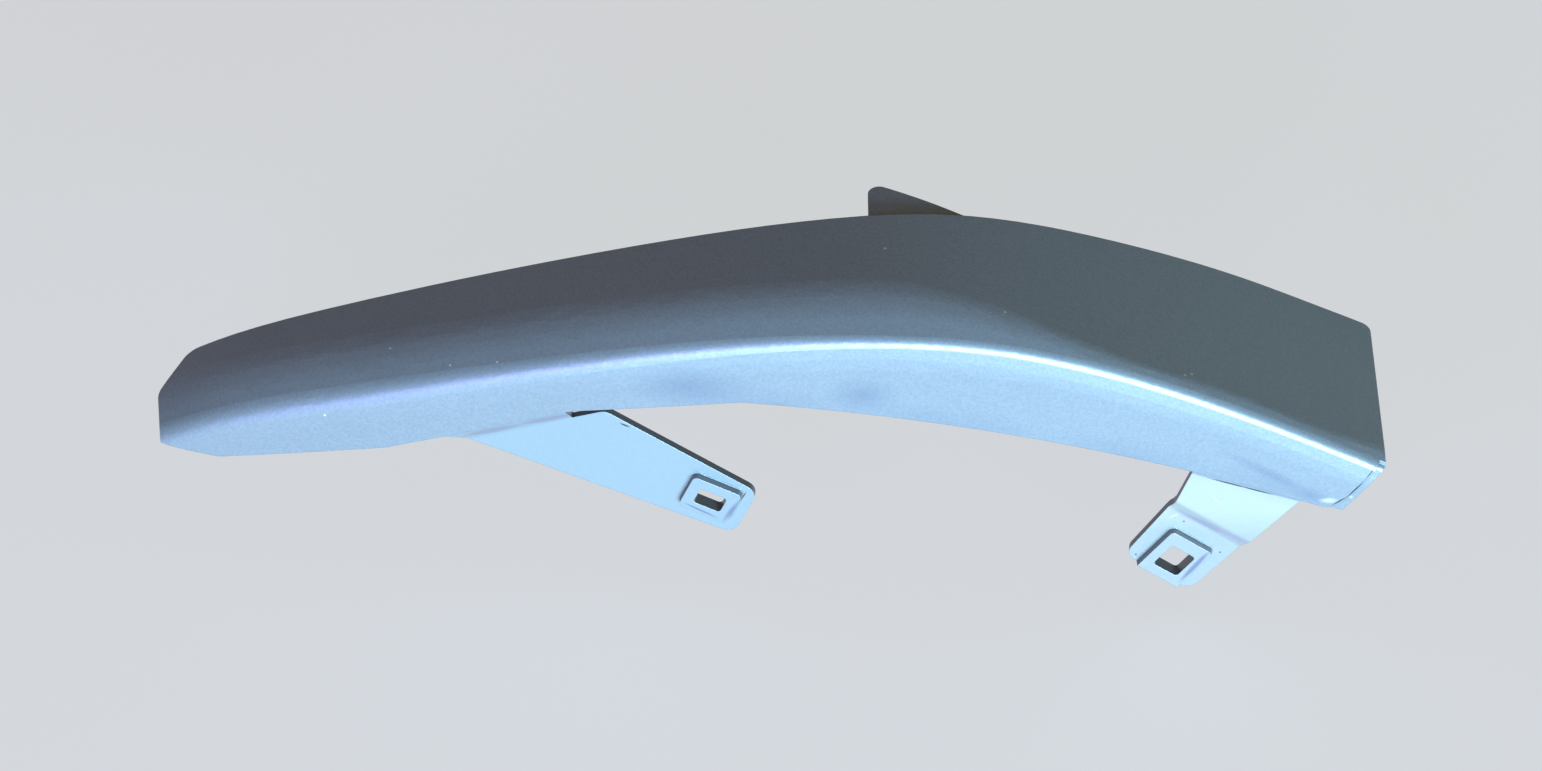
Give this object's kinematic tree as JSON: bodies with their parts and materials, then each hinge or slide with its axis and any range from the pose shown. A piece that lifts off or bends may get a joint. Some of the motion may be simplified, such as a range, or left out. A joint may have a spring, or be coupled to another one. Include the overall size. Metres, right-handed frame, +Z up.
{
  "type": "car spoiler",
  "caption": "Long arched car spoiler trim blade in satin silver paint, with a folded ridge, clip tabs with latch windows and a rear locating tongue.",
  "frame": {"origin": "middle of the right latch window, on the front of its raised pad", "axes": "+X along the blade towards its slanted end, -Y out of the shown front face, +Z up out of the top"},
  "size_m": [0.4522, 0.0902, 0.123],
  "materials": {
    "painted_plastic": "satin silver metallic paint"
  },
  "bodies": {
    "root": {"spoiler_blade": "painted_plastic"}
  },
  "joints": []
}
